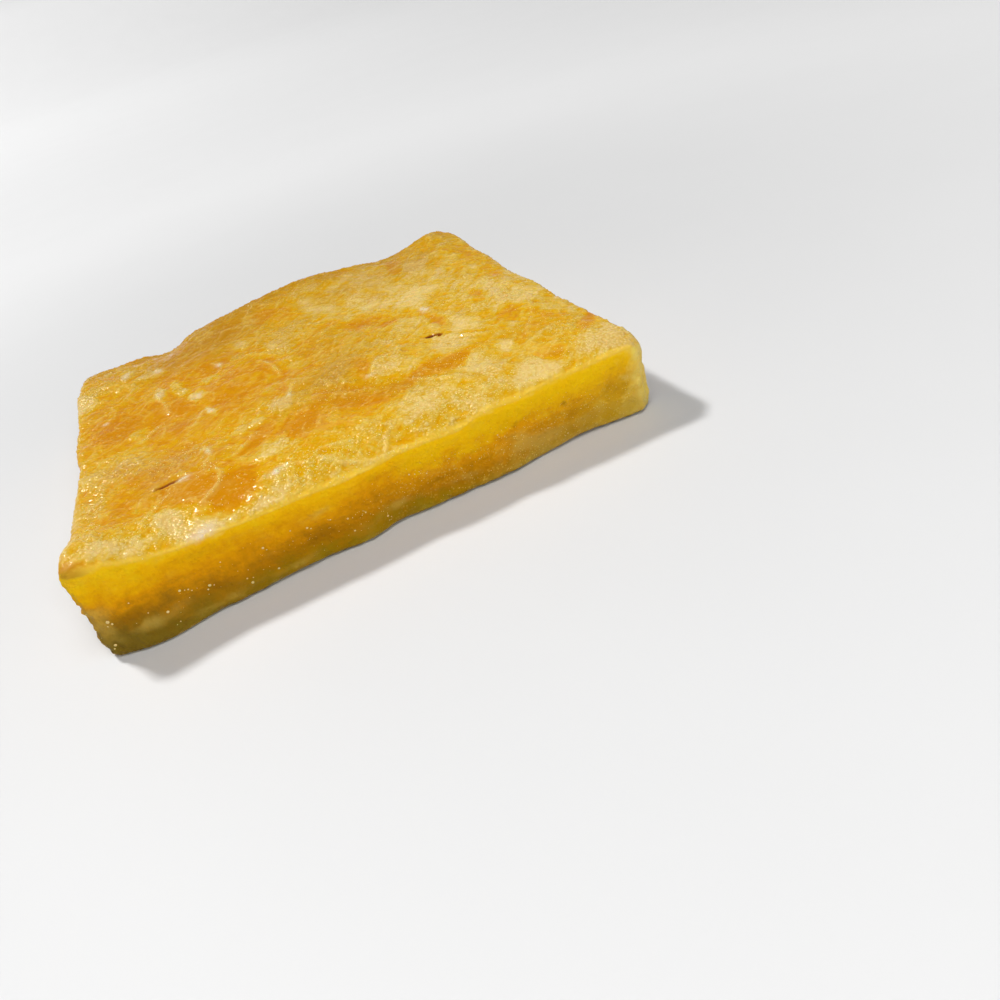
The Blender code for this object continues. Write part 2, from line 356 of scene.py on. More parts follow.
# Marks of the front cut: (x, z, reach, reach up, turn, strength), pale with sugar or brown
CUT_MARKS = (
    (-49.5, 7.8, 2.6, 2.2, 0, 1.0), (-48.6, 5.4, 2.2, 1.8, 0, 0.6), (-42.4, 4.1, 3.2, 1.1, 0, 0.6),
    (-36, 4.6, 2.4, 0.8, 8, 0.6), (-12, 8.6, 3.4, 0.6, 0, 0.6), (0, 3.6, 6.0, 1.0, 0, 0.6),
    (-19, 1.8, 4.0, 0.9, 0, 0.7), (24, 5.0, 3.6, 2.2, 10, 0.9), (14, 3.0, 5.0, 1.0, 0, 0.5),
    (30, 3.2, 4.4, 1.6, 0, 0.8), (38, 4.0, 4.0, 2.2, 0, 0.6), (46, 2.8, 3.6, 1.8, 0, 0.9),
    (34, 0.8, 18.0, 1.0, 0, 1.0), (50, 9.0, 1.6, 6.0, 0, 1.0), (-30, 1.6, 6.0, 0.8, 0, 0.5),
    (-41, 2.8, 3.0, 0.8, 0, 0.5), (8, 6.6, 3.0, 1.0, 0, 0.35), (-45, 6.2, 2.6, 1.5, 0, -1.0),
    (-31, 4.6, 2.8, 1.0, 0, -0.8), (-13, 4.8, 4.2, 1.3, 5, -0.8), (23, 8.6, 2.6, 0.8, 0, -0.7),
    (43, 7.4, 2.6, 1.2, 0, -0.6), (8, 4.6, 3.6, 1.0, 0, -0.6), (-23, 4.4, 2.4, 0.8, 0, -0.5),
    (-41, 6.6, 2.4, 1.0, 0, -0.4), (17, 7.0, 2.6, 0.7, 0, -0.4), (-3, 6.2, 3.4, 0.7, 0, -0.35),
    (36, 6.4, 2.0, 1.0, 0, -0.5), (33.0, 8.6, 0.35, 0.3, 0, -3.0),
)
# Raised creases of the skin, each a short line of points in millimetres, and its height
CREASES = (
    (((-25, -22), (-24.6, -26), (-26, -29.5), (-24, -33), (-23.6, -35), (-25, -39), (-27.5, -41.5)), 0.30),
    (((-36.4, -7), (-34.5, -3.5), (-32, -0.3)), 0.28),
    (((-20.6, -30), (-18.6, -27.6), (-16, -25)), 0.22),
    (((-7.7, -16), (-6.9, -13.5), (-6, -10)), 0.30),
    (((-8, -43), (-5, -46), (0, -48), (6, -48.6)), 0.26),
    (((13.5, -30), (16, -33.5), (19.5, -37.5)), 0.28),
    (((25, -18), (28, -21.5), (30.5, -24.5)), 0.28),
    (((-31.6, 17), (-32, 12), (-30.8, 8), (-30.2, 2.5)), 0.22),
    (((-9.5, 10), (-7.8, 6), (-7, -1)), 0.26),
    (((-26.4, -9), (-25, -7), (-23.8, -3.5)), 0.22),
    (((-38, -42), (-35, -37), (-31, -32.5)), 0.20),
    (((22, -44), (26, -46.6), (31, -48)), 0.20),
    (((8.6, -20), (10, -17.6), (13, -17)), 0.22),
    (((-14, -41), (-10, -43), (-7, -41), (-2, -42.5)), 0.20),
    (((36, -31), (40, -25), (43, -18)), 0.18),
    (((-19, 20), (-17, 17.6), (-18.6, 14)), 0.22),
)
CREASE_WIDTH = 0.45
# Height to which the skin hangs down over the front cut, in millimetres: (x, z)
SKIN_HEM = (
    (-52, 16.3), (-45, 15.2), (-38, 13.6), (-29, 12.9), (-20, 13.1), (0, 12.7), (20, 12.6), (52, 13.1),
)
# The two ways in which the film's fibres run over the top, in degrees
FILM_SLANTS = (54, -50)


def smooth_step(value, low, high):
    """0 below low, 1 above high, and smooth between them."""
    share = np.clip((value - low) / (high - low), 0.0, 1.0)
    return share * share * (3 - 2 * share)


def spots(x, y, marks, edge=None):
    """Sum of oval marks at every place, fading softly or at an edge of some width."""
    total = np.zeros_like(x)
    for at_x, at_y, reach, reach_across, turn, strength in marks:
        cosine, sine = math.cos(math.radians(turn)), math.sin(math.radians(turn))
        along = ((x - at_x) * cosine + (y - at_y) * sine) / reach
        across = ((y - at_y) * cosine - (x - at_x) * sine) / reach_across
        squared = along**2 + across**2
        if edge:
            total += strength * smooth_step(1.0 - np.sqrt(squared), -edge, edge)
        else:
            total += strength * np.exp(-squared)
    return total


def lumps(points, size, at=0.0):
    """Smooth noise from about -1 to 1 at every point, its lumps size millimetres across."""
    return np.array([noise.noise(Vector(point)) for point in points / size + at])


def shreds(points, at=0.0):
    """Rough noise from about -1 to 1 with lumps of every size from one unit down to an eighth."""
    return np.array([noise.fractal(Vector(point), 0.8, 2.0, 4) for point in points + at])


def cells(points, size, at=0.0):
    """Distances to the nearest and the next seed of cells about size millimetres across."""
    nearest = [noise.voronoi(Vector(point))[0][:2] for point in points / size + at]
    return np.array(nearest).T


def ridge(value, width):
    """1 where a value crosses zero, fading to 0 at a few widths away."""
    return np.exp(-((value / width) ** 2))


def turned(points, degrees, long_reach, short_reach):
    """Places in a turned frame, shrunk so that noise there comes out as streaks along its x."""
    cosine, sine = math.cos(math.radians(degrees)), math.sin(math.radians(degrees))
    along = (points[:, 0] * cosine + points[:, 1] * sine) / long_reach
    across = (points[:, 1] * cosine - points[:, 0] * sine) / short_reach
    return np.stack([along, across, points[:, 2] / short_reach], axis=1)


def crease_lines(x, y, creases):
    """Height of the listed creases at every place of the top."""
    total = np.zeros_like(x)
    for points, height in creases:
        nearest = np.full_like(x, 1e3)
        for (x0, y0), (x1, y1) in zip(points, points[1:]):
            length = math.hypot(x1 - x0, y1 - y0)
            share = np.clip(((x - x0) * (x1 - x0) + (y - y0) * (y1 - y0)) / length**2, 0.0, 1.0)
            gap = np.hypot(x - x0 - share * (x1 - x0), y - y0 - share * (y1 - y0))
            nearest = np.minimum(nearest, gap)
        total = np.maximum(total, height * ridge(nearest, CREASE_WIDTH))
    return total


bpy.ops.object.select_all(action="DESELECT")
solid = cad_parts["mango_jelly_slab"]
solid.select_set(True)
bpy.context.view_layer.objects.active = solid
bpy.ops.object.duplicate()
slab = bpy.context.active_object
slab.name = "jelly_slab"
slab.data.name = "jelly_slab"
slab.data.materials.clear()
bpy.ops.object.mode_set(mode="EDIT")
bpy.ops.mesh.select_all(action="SELECT")
bpy.ops.mesh.remove_doubles(threshold=MERGE)
bpy.ops.object.mode_set(mode="OBJECT")
remesh = slab.modifiers.new("even_cells", "REMESH")
remesh.mode = "VOXEL"
remesh.voxel_size = VOXEL
bpy.ops.object.modifier_apply(modifier=remesh.name)
smoothing = slab.modifiers.new("ease", "SMOOTH")
smoothing.factor = SMOOTHING_SHARE
smoothing.iterations = SMOOTHING_PASSES
bpy.ops.object.modifier_apply(modifier=smoothing.name)

# Every vertex of the slab at once, in millimetres, and the way that the surface faces there
count = len(slab.data.vertices)
points = np.empty(count * 3)
slab.data.vertices.foreach_get("co", points)
points = points.reshape(-1, 3) / MM
outward = np.empty(count * 3)
slab.data.vertices.foreach_get("normal", outward)
outward = outward.reshape(-1, 3)
x, y, z = points.T

# How far each place belongs to the top, the bed that it lies on, the front cut or another side,
# and to the brink where the top bends down into the front cut
top = smooth_step(outward[:, 2], 0.45, 0.85)
bed = smooth_step(-outward[:, 2], 0.45, 0.85)
side = 1 - top - bed
front = side * smooth_step(-outward[:, 1], 0.3, 0.7)
aged = side - front
brink = smooth_step(-outward[:, 1], 0.40, 0.66) * (1 - bed)

# Noise of many sizes, in millimetres; the last number of each only picks another stretch of it
drift = np.stack([lumps(points, 7.0, at) for at in (3.1, 17.7, 31.3)], axis=1)
strayed = points + 1.6 * drift
streaks = lumps(turned(strayed, 52, 9.0, 3.6), 1.0, 5.0) + lumps(turned(strayed, -48, 8.0, 3.2), 1.0, 9.0)
blotches = lumps(strayed, 6.5, 40.0)
specks = lumps(strayed, 1.6, 60.0)
flecks = lumps(points + 0.5 * drift, 0.75, 65.0)
frayed = points + 1.3 * drift
slant_one = shreds(turned(frayed, FILM_SLANTS[0], 5.0, 1.5), 5.0)
slant_two = shreds(turned(frayed, FILM_SLANTS[1], 4.4, 1.4), 9.0)
broad_slants = shreds(turned(frayed, FILM_SLANTS[0], 11.0, 3.6), 15.0)
broad_slants += shreds(turned(frayed, FILM_SLANTS[1], 9.0, 3.2), 19.0)

# What marks the top: film, browner skin and painted shade at the back edge, wrinkles, smooth and dull
# places, scars, bloom with painted glints, creases
ragged = points + 1.1 * drift + 0.8 * np.stack([specks, flecks, specks], axis=1)
film = FILM_LEVEL + spots(x, y, FILM_WASHES)
film += PATCH_GAIN * spots(ragged[:, 0], ragged[:, 1], FILM_PATCHES, PATCH_EDGE)
film += 0.25 * slant_one + 0.21 * slant_two + 0.18 * blotches + 0.07 * specks + 0.06 * flecks
film += 0.17 * broad_slants * smooth_step(x + y, -10.0, 25.0)
film = np.clip(film, 0.0, 1.0)
tawny = np.clip(spots(x, y, TAWNY_AND_SHADE_WASHES) + 0.25 * blotches + 0.20 * slant_two, 0.0, 1.0) * top
wrinkled = np.clip(spots(x, y, WRINKLED_SPOTS) + 0.25 * blotches, 0.0, 1.0) * top
dull = np.clip(spots(x, y, DULL_SPOTS), 0.0, 1.0)
calm = np.clip(spots(x, y, SMOOTH_SPOTS), 0.0, 0.85)
scar = np.clip(spots(x + 0.15 * specks, y + 0.15 * specks, SCARS), 0.0, 1.6) * top
bloom = spots(x + 0.7 * specks, y + 0.6 * flecks, BLOOM_AND_GLINT_SPOTS) * (1 + 0.9 * flecks)
bloom = np.clip(1.3 * bloom, 0.0, 1.2) * top
creases = crease_lines(x + 0.25 * specks, y + 0.25 * drift[:, 0], CREASES) * (0.7 + 0.6 * specks)
threads = ridge(slant_one - 0.1, 0.05) * smooth_step(blotches, -0.2, 0.3)
threads += ridge(slant_two + 0.1, 0.05) * smooth_step(-blotches, -0.2, 0.3)

# The top's relief: film with raised edges, a net of pinched folds, fine wrinkles, pebbly grain
near, next_near = cells(strayed + 0.5 * specks[:, None], 5.2, 2.0)
folds = ridge(next_near - near, 0.08) * smooth_step(blotches + streaks, -0.25, 0.25)
near_mid, next_mid = cells(turned(strayed, 48, 3.4, 2.0), 1.0, 8.0)
pinches = ridge(next_mid - near_mid, 0.10) * smooth_step(lumps(points, 4.0, 77.0), -0.2, 0.2)
near_small, next_small = cells(turned(points + 0.6 * drift, -40, 1.5, 1.0), 1.0, 15.0)
facets = ridge(next_small - near_small, 0.15)
pebbles = 0.5 - near_small
wrinkles = 1 - 2 * np.abs(lumps(turned(points + 1.2 * drift, 35, 4.5, 0.85), 1.0, 21.0))
broad_wrinkles = 1 - 2 * np.abs(lumps(turned(points + 1.0 * drift, -42, 5.0, 1.3), 1.0, 33.0))
bumps = lumps(strayed, 1.3, 95.0)
top_rise = 0.09 * smooth_step(film, 0.46, 0.54) + 0.13 * folds + 0.09 * pinches + 0.13 * threads
top_rise += (0.08 * facets + 0.04 * pebbles + 0.05 * flecks + 0.13 * bumps) * (0.35 + 0.65 * film)
top_rise += 0.15 * wrinkles * wrinkled + 0.13 * broad_wrinkles * (0.5 + 0.5 * film)
top_rise *= 1 - 0.8 * calm
top_rise += creases + 0.15 * bloom * (0.4 + 0.9 * pebbles + 0.5 * specks) - 0.22 * scar
fold = np.clip(3.2 * creases + 0.7 * threads + 0.4 * folds + 0.3 * pinches, 0.0, 1.0) * top

# The older sides' relief: wavy layers, long hollows, grains and small pits, calmer near the front
layer_phase = z / 1.7 + 2.4 * lumps(points * (1, 1, 0.4), 13.0, 50.0) + 0.6 * drift[:, 1]
layers = (1 - 2 * np.abs(2 * (layer_phase - np.floor(layer_phase)) - 1)) * smooth_step(blotches, 0.0, 0.5)
hollows = smooth_step(lumps(points * (0.16, 0.16, 1.0) + 0.7 * drift, 2.3, 36.0), 0.05, 0.55)
grains = 0.5 - cells(points, 1.1, 70.0)[0]
pits = smooth_step(0.15 - cells(points, 4.2, 90.0)[0], 0.0, 0.10)
corner_calm = 1 - 0.85 * smooth_step(-y, 42.0, 49.0)
side_rise = 0.12 * layers - 0.42 * hollows + 0.16 * blotches
side_rise += 0.20 * grains + 0.14 * specks + 0.12 * flecks - 0.30 * pits
side_rise *= aged * corner_calm
groove = np.clip(hollows + 0.4 * smooth_step(-layers, 0.1, 0.8), 0.0, 1.0) * aged

# The front cut's relief: nearly clean above, sugary below, with the skin's hem over its upper edge
smeared = points + 0.9 * drift + 0.5 * np.stack([specks, specks, flecks], axis=1)
marks = spots(smeared[:, 0], smeared[:, 2], CUT_MARKS) + 0.45 * lumps(points * (0.35, 1.0, 1.0), 1.7, 83.0)
marks = np.clip(marks + 0.30 * specks, -1.0, 1.0)
hem = np.interp(x, *zip(*SKIN_HEM)) + 0.55 * specks + 0.45 * lumps(points, 3.5, 44.0) + 0.35 * flecks
skin_share = np.maximum(top, front * smooth_step(z - hem, -0.9, 0.8))
hem_threads = 1 - 2 * np.abs(lumps(points * (0.22, 1.0, 1.0) + 0.4 * drift, 0.9, 52.0))
knife_drag = lumps(points * (1.0, 1.0, 0.25), 1.4, 55.0)
sugar_lumps = lumps(points, 0.9, 88.0)
low = 1 - smooth_step(z, 4.0, 11.0)
side_rise += (0.05 * layers + 0.08 * specks + 0.12 * blotches + 0.05 * knife_drag) * front
side_rise += low * (0.10 * grains + 0.10 * sugar_lumps + 0.10 * marks) * front
side_rise += (0.05 + 0.12 * hem_threads) * skin_share * front
# The left corner is torn rather than cut, so its edge is finely notched
torn_corner = smooth_step(-x, 46.0, 49.5) * smooth_step(-y, 43.0, 48.5) * side
side_rise += (0.36 * specks + 0.26 * flecks) * torn_corner

# The lower edge wanders a little, and the underside stays flat
rise = top_rise * top + side_rise
rise += 0.30 * lumps(points, 2.6, 12.0) * side * (1 - smooth_step(z, 0.6, 2.6))
rise *= 1 - bed * smooth_step(0.8 - z, 0.0, 0.6)
points += outward * rise[:, None]
points[:, 2] = np.maximum(points[:, 2], 0.0)
slab.data.vertices.foreach_set("co", (points * MM).ravel())

# What the material reads at each place
carried = {
    "film": film, "wrinkled": wrinkled, "scar": scar, "bloom": bloom, "calm": calm, "skin": skin_share,
    "front": front, "crest": rise, "pit": pits * aged, "tawny": tawny, "brink": brink, "dull": dull,
    "mark": marks * front, "groove": groove, "fold": fold,
}
for layer_name, amounts in carried.items():
    layer = slab.data.attributes.new(layer_name, "FLOAT", "POINT")
    layer.data.foreach_set("value", amounts.astype(np.float32))
slab.data.update()

# The underside becomes one flat face, and the mesh keeps its triangles for where it isn't flat
bpy.ops.object.mode_set(mode="EDIT")
bpy.ops.mesh.select_all(action="DESELECT")
bpy.ops.object.mode_set(mode="OBJECT")
for polygon in slab.data.polygons:
    polygon.select = all(slab.data.vertices[corner].co.z < BED_HEIGHT for corner in polygon.vertices)
bpy.ops.object.mode_set(mode="EDIT")
bpy.ops.mesh.select_mode(type="FACE")
bpy.ops.mesh.delete(type="FACE")
bpy.ops.mesh.select_mode(type="EDGE")
bpy.ops.mesh.select_all(action="DESELECT")
bpy.ops.mesh.select_non_manifold()
bpy.ops.mesh.edge_face_add()
bpy.ops.mesh.select_all(action="SELECT")
bpy.ops.mesh.quads_convert_to_tris()
bpy.ops.object.mode_set(mode="OBJECT")
thinning = slab.modifiers.new("fewer_where_flat", "DECIMATE")
thinning.ratio = KEPT_TRIANGLES / len(slab.data.polygons)
bpy.ops.object.modifier_apply(modifier=thinning.name)
bpy.ops.object.shade_smooth()

# Colours of the skin from bare jelly to thick film, and of the cuts from their foot to their edge
SKIN_TONES = (
    (0.02, (0.575, 0.220, 0.001)),
    (0.25, (0.635, 0.285, 0.001)),
    (0.44, (0.655, 0.340, 0.001)),
    (0.56, (0.645, 0.375, 0.015)),
    (0.72, (0.66, 0.43, 0.060)),
    (1.00, (0.73, 0.53, 0.185)),
)
# Both cuts darken from their edge towards their foot partly in the jelly's own layers and partly as
# painted shade, the light coming from above; the fresh cut's bright yellow near its edge is partly painted
# light shining in through the top
FRESH_CUT_TONES = (
    (0.00, (0.38, 0.25, 0.012)),
    (0.10, (0.33, 0.19, 0.002)),
    (0.36, (0.47, 0.195, 0.001)),
    (0.62, (0.71, 0.305, 0.001)),
    (0.84, (0.83, 0.44, 0.001)),
    (1.00, (0.84, 0.51, 0.004)),
)
AGED_CUT_TONES = (
    (0.00, (0.44, 0.30, 0.090)),
    (0.15, (0.37, 0.205, 0.035)),
    (0.45, (0.46, 0.225, 0.018)),
    (0.75, (0.60, 0.29, 0.006)),
    (1.00, (0.68, 0.41, 0.05)),
)
# Colours laid over those, each where its own mark is
TROUGH_SHADE_BROWN = (0.46, 0.19, 0.002, 1.0)
WRINKLE_TAN = (0.53, 0.27, 0.055, 1.0)
OLD_SKIN_AND_SHADE_BROWN = (0.44, 0.205, 0.006, 1.0)
FOLD_CREAM_AND_HIGHLIGHT = (0.80, 0.58, 0.15, 1.0)
BRINK_YELLOW = (0.88, 0.58, 0.055, 1.0)
DULL_BROWN = (0.40, 0.18, 0.005, 1.0)
LEFT_END_GREY = (0.165, 0.100, 0.010, 1.0)
RIGHT_END_PALE = (0.68, 0.40, 0.012, 1.0)
RIGHT_TIP_CREAM = (0.80, 0.63, 0.150, 1.0)
LEMON_YELLOW = (0.84, 0.51, 0.001, 1.0)
SMEAR_CREAM = (0.62, 0.42, 0.075, 1.0)
SMUDGE_BROWN = (0.30, 0.13, 0.002, 1.0)
SUGAR_GOLD = (0.72, 0.49, 0.07, 1.0)
GROOVE_SHADE_BROWN = (0.24, 0.105, 0.006, 1.0)
SAND_PALE = (0.68, 0.48, 0.15, 1.0)
PIT_SHADE_BROWN = (0.21, 0.09, 0.006, 1.0)
BRUISE_RED = (0.21, 0.045, 0.003, 1.0)
SCAR_BLACK = (0.045, 0.010, 0.012, 1.0)
BLOOM_AND_GLINT_WHITE = (0.77, 0.60, 0.38, 1.0)
# The two ways in which the crinkles run, in degrees
CRINKLE_TURNS = (52, -47)
# Height at which the cut's colour comes to its last tone, were it not mottled
CUT_TONE_HEIGHT = 13.2 * MM
GRANULE_SIZE = 0.55 * MM
BUMP_DEPTH = 0.12 * MM

slab_finish, slab_shader, slab_place = new_finish(
    "dried_mango_jelly",
    Subsurface_Weight=0.3,
    Subsurface_Scale=0.0014,
    Subsurface_Radius=(1.0, 0.55, 0.10),
    IOR=1.21,
    Specular_Tint=(1.0, 0.76, 0.28, 1.0),
    Coat_Roughness=0.08,
)


def layer_wire(start, name):
    """The value that each place of the piece carries under a name."""
    return start.node("ShaderNodeAttribute", {"attribute_name": name}, {}, "Fac")


def turned_place(place, degrees, long_reach, short_reach):
    """A place turned about +Z and shrunk, so that patterns there come out as streaks."""
    sockets = {"Vector": place, "Angle": math.radians(-degrees)}
    turned_wire = place.node("ShaderNodeVectorRotate", {"rotation_type": "Z_AXIS"}, sockets)
    return turned_wire.scaled((1 / long_reach, 1 / short_reach, 1 / short_reach))


film_wire = layer_wire(slab_place, "film")
wrinkled_wire = layer_wire(slab_place, "wrinkled")
scar_wire = layer_wire(slab_place, "scar")
bloom_and_glint_wire = layer_wire(slab_place, "bloom")
calm_wire = layer_wire(slab_place, "calm")
skin_wire = layer_wire(slab_place, "skin")
fold_wire = layer_wire(slab_place, "fold")
front_wire = layer_wire(slab_place, "front")
crest_highlight_wire = layer_wire(slab_place, "crest")
pit_shade_wire = layer_wire(slab_place, "pit")
tawny_and_shade_wire = layer_wire(slab_place, "tawny")
brink_wire = layer_wire(slab_place, "brink")
dull_wire = layer_wire(slab_place, "dull")
mark_wire = layer_wire(slab_place, "mark")
groove_shade_wire = layer_wire(slab_place, "groove")

fine_grain = slab_place.grain(0.7 * MM, 4.0, 0.65)
mid_grain = slab_place.grain(1.6 * MM, 3.0, 0.6)
coarse_grain = slab_place.grain(3.0 * MM, 3.0, 0.6)
broad_grain = slab_place.grain(9.0 * MM, 2.0, 0.5)
# Streaks that the knife drew out along the cut
drawn_grain = slab_place.scaled((0.3, 1.0, 1.0)).grain(1.8 * MM, 3.0, 0.6)
# Sugary granules, each a small smooth round rise
granule_sockets = {"Vector": slab_place, "Scale": 1 / GRANULE_SIZE, "Smoothness": 0.3}
granule_gap = slab_place.node("ShaderNodeTexVoronoi", {"feature": "SMOOTH_F1"}, granule_sockets)
granule = 1 - granule_gap.step(0.05, 0.70)
# Fine crinkles of the skin, which run two slanting ways
crinkle_one = turned_place(slab_place, CRINKLE_TURNS[0], 2.6 * MM, 0.60 * MM).grain(1.0, 1.0, 0.5)
crinkle_two = turned_place(slab_place, CRINKLE_TURNS[1], 2.2 * MM, 0.55 * MM).grain(1.0, 1.0, 0.5)
crinkle = coarse_grain.step(0.44, 0.56) * (crinkle_one - crinkle_two) + crinkle_two
lively = 1 - calm_wire
granular = film_wire.step(0.35, 0.75) * (0.30 + 0.70 * broad_grain.step(0.42, 0.58))

# The skin's colour: its film, then what browns it, then what pales it. The troughs are darkened as painted
# shade, and the crests and creases paled partly as painted highlight
grain_tone = 0.16 * (fine_grain - 0.5) + (0.06 + 0.20 * granular) * (granule - 0.5)
grain_tone = grain_tone + (0.40 + 0.55 * wrinkled_wire) * (crinkle - 0.5) + 0.28 * (mid_grain - 0.5)
# Raised places are paled, partly the pinched film and partly painted highlight on the crests
skin = (film_wire + lively * grain_tone + 0.20 * crest_highlight_wire).ramp(SKIN_TONES)
# The crinkles' troughs and the gaps between granules are darkened as painted shade
trough_shade = (1 - crinkle.step(0.26, 0.44)) * (0.13 + 0.31 * wrinkled_wire)
trough_shade = trough_shade + (0.05 + 0.22 * granular) * (1 - granule.step(0.10, 0.40))
skin = trough_shade.blend(skin, TROUGH_SHADE_BROWN)
tan = (wrinkled_wire * (0.35 + 1.6 * (crinkle - 0.4))).step(0.0, 1.0)
skin = tan.blend(skin, WRINKLE_TAN)
# Older skin is browned, and along the back edge the same brown is painted shade
skin = (0.82 * tawny_and_shade_wire).blend(skin, OLD_SKIN_AND_SHADE_BROWN)
# Creases are paled with cream, partly the pinched film and partly painted highlight
skin = (0.50 * fold_wire).blend(skin, FOLD_CREAM_AND_HIGHLIGHT)
skin = (0.80 * brink_wire).blend(skin, BRINK_YELLOW)
skin = (0.65 * dull_wire.step(0.40, 1.00)).blend(skin, DULL_BROWN)

# The tone of a cut: its height, mottled, a little brighter right of the middle as painted light, darker at
# the left as painted shade
along = slab_place.part("X") + 12 * MM * (coarse_grain - 0.5)
lit_middle = along.step(2 * MM, 16 * MM) * (1 - along.step(38 * MM, 46 * MM))
mottle = 0.24 * (coarse_grain - 0.5) + 0.28 * (broad_grain - 0.5) + 0.24 * (mid_grain - 0.5)
mottle = mottle + 0.34 * (drawn_grain - 0.5) + 0.20 * (fine_grain - 0.5)
cut_tone = slab_place.part("Z") * (1 / CUT_TONE_HEIGHT) + mottle
cut_tone = cut_tone + 0.06 * lit_middle - 0.13 * (1 - along.step(-50 * MM, -34 * MM))

# The fresh cut is greyer and darker at its low left end, the darkness partly painted shade, paler at its
# right end and lemon above
fresh_cut = cut_tone.ramp(FRESH_CUT_TONES)
left_end = (1 - along.step(-50 * MM, -14 * MM)) * (1 - cut_tone.step(0.08, 0.68))
right_end = along.step(26 * MM, 44 * MM) * (1 - cut_tone.step(0.50, 0.95))
right_tip = along.step(44 * MM, 50 * MM)
lemon = along.step(-12 * MM, 14 * MM) * cut_tone.step(0.60, 0.85)
fresh_cut = (0.85 * left_end).blend(fresh_cut, LEFT_END_GREY)
fresh_cut = (0.65 * right_end).blend(fresh_cut, RIGHT_END_PALE)
fresh_cut = (0.55 * lemon).blend(fresh_cut, LEMON_YELLOW)
fresh_cut = (0.80 * right_tip).blend(fresh_cut, RIGHT_TIP_CREAM)
# Creamy smears and brown smudges
fresh_cut = (0.50 * mark_wire.step(0.05, 1.00)).blend(fresh_cut, SMEAR_CREAM)
fresh_cut = (0.60 * (0 - mark_wire).step(0.10, 0.90)).blend(fresh_cut, SMUDGE_BROWN)
# Sugar shows as pale granules in its lower half, right of the middle
sugary = (1 - cut_tone.step(0.35, 0.95)) * coarse_grain.step(0.42, 0.60) * granule.step(0.35, 0.90)
sugary = sugary * along.step(-14 * MM, 14 * MM)
fresh_cut = (0.50 * sugary).blend(fresh_cut, SUGAR_GOLD)

# The aged cuts are darkened in their grooves as painted shade, and are sandy with sugar
aged_cut = cut_tone.ramp(AGED_CUT_TONES)
aged_cut = (0.50 * groove_shade_wire).blend(aged_cut, GROOVE_SHADE_BROWN)
sandy = granule.step(0.40, 0.85) * coarse_grain.step(0.35, 0.60)
aged_cut = (0.50 * sandy).blend(aged_cut, SAND_PALE)

cut = front_wire.step(0.1, 0.9).blend(aged_cut, fresh_cut)
# Pits are darkened as painted shade
cut = (0.45 * pit_shade_wire).blend(cut, PIT_SHADE_BROWN)
colour = skin_wire.step(0.2, 0.8).blend(cut, skin)
colour = scar_wire.step(0.15, 0.85).blend(colour, BRUISE_RED)
colour = scar_wire.step(1.0, 1.3).blend(colour, SCAR_BLACK)
# The bloom is whitened, partly in its own colour and partly as painted highlight
colour = (0.85 * bloom_and_glint_wire).blend(colour, BLOOM_AND_GLINT_WHITE)
feed(slab_shader, "Base Color", colour)

roughness = 0.18 + 0.06 * coarse_grain + 0.03 * film_wire + 0.10 * (1 - skin_wire) + 0.35 * dull_wire
feed(slab_shader, "Roughness", roughness)
wetness = 0.30 * bloom_and_glint_wire + 0.28 * fold_wire + 0.06 * crinkle.step(0.55, 0.75)
feed(slab_shader, "Coat Weight", skin_wire * (1 - dull_wire) * wetness)

cut_relief = 0.7 * granule + 0.8 * fine_grain
crinkled = 0.45 + 0.60 * wrinkled_wire + 0.15 * granular
skin_relief = (0.20 + 0.60 * granular) * granule + crinkled * crinkle + 0.08 * fine_grain
relief = cut_relief + skin_wire * ((0.25 + 0.75 * lively) * skin_relief - cut_relief)
bump_sockets = {"Strength": 1.0, "Distance": BUMP_DEPTH, "Height": relief}
feed(slab_shader, "Normal", slab_place.node("ShaderNodeBump", {}, bump_sockets))
slab.data.materials.append(slab_finish)

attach(slab, "root")
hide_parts("mango_jelly_slab")


# The juice beads
# Small clear drops of juice and burst bubbles that the knife left standing on the front cut.
# Each is a low dome about half a millimetre wide, stuck to the jelly by its own wetness.

# Places on the front cut in millimetres: (x, z, radius)
BEADS = (
    (-48.0, 6.6, 0.36), (-47.5, 6.1, 0.22), (-48.3, 5.9, 0.16), (-48.8, 2.5, 0.32), (-49.2, 2.0, 0.16),
    (-39.4, 4.4, 0.26), (-36.4, 6.6, 0.24), (-35.7, 6.3, 0.12), (-35.2, 6.1, 0.16), (-34.8, 5.7, 0.14),
    (-32.1, 5.1, 0.28), (-32.6, 4.6, 0.18), (-31.5, 4.8, 0.12), (-26.0, 2.6, 0.26), (-26.5, 3.6, 0.16),
    (-25.6, 3.3, 0.12), (-22.2, 7.2, 0.24), (-21.8, 6.7, 0.13), (-21.4, 2.6, 0.22), (-14.6, 7.3, 0.22),
    (-14.1, 6.9, 0.14), (-17.2, 8.1, 0.15), (-10.7, 6.9, 0.14), (-8.1, 5.8, 0.22), (-7.8, 3.2, 0.20),
    (-5.0, 5.4, 0.17), (-1.8, 2.7, 0.22), (-1.3, 2.2, 0.13), (4.0, 8.2, 0.17), (4.9, 7.8, 0.14),
    (6.8, 7.1, 0.14), (11.2, 7.9, 0.14), (20.5, 8.0, 0.17), (16.2, 5.4, 0.15), (29.6, 5.0, 0.14),
    (33.0, 2.2, 0.18), (-43.8, 8.3, 0.14), (-29.0, 8.0, 0.14), (-38.4, 2.2, 0.14), (-42.0, 5.6, 0.13),
)
# Width, length and height of a bead, as shares of its radius
BEAD_SHAPE = (1.0, 0.9, 0.6)
BEAD_SEGMENTS = 10
BEAD_RINGS = 6
# Share of its radius by which the middle of a bead or a grain lies under the surface
SUNK_SHARE = 0.25
# Lines that look for a side of the slab start this far from its middle, in millimetres
ASIDE = 80.0
BACKWARDS = (0.0, 1.0, 0.0)

slab_tree = BVHTree.FromObject(slab, bpy.context.evaluated_depsgraph_get())


def on_slab(start, way):
    """The place and facing where a line from a start in millimetres first meets the slab."""
    return slab_tree.ray_cast(Vector(start) * MM, Vector(way))[:2]


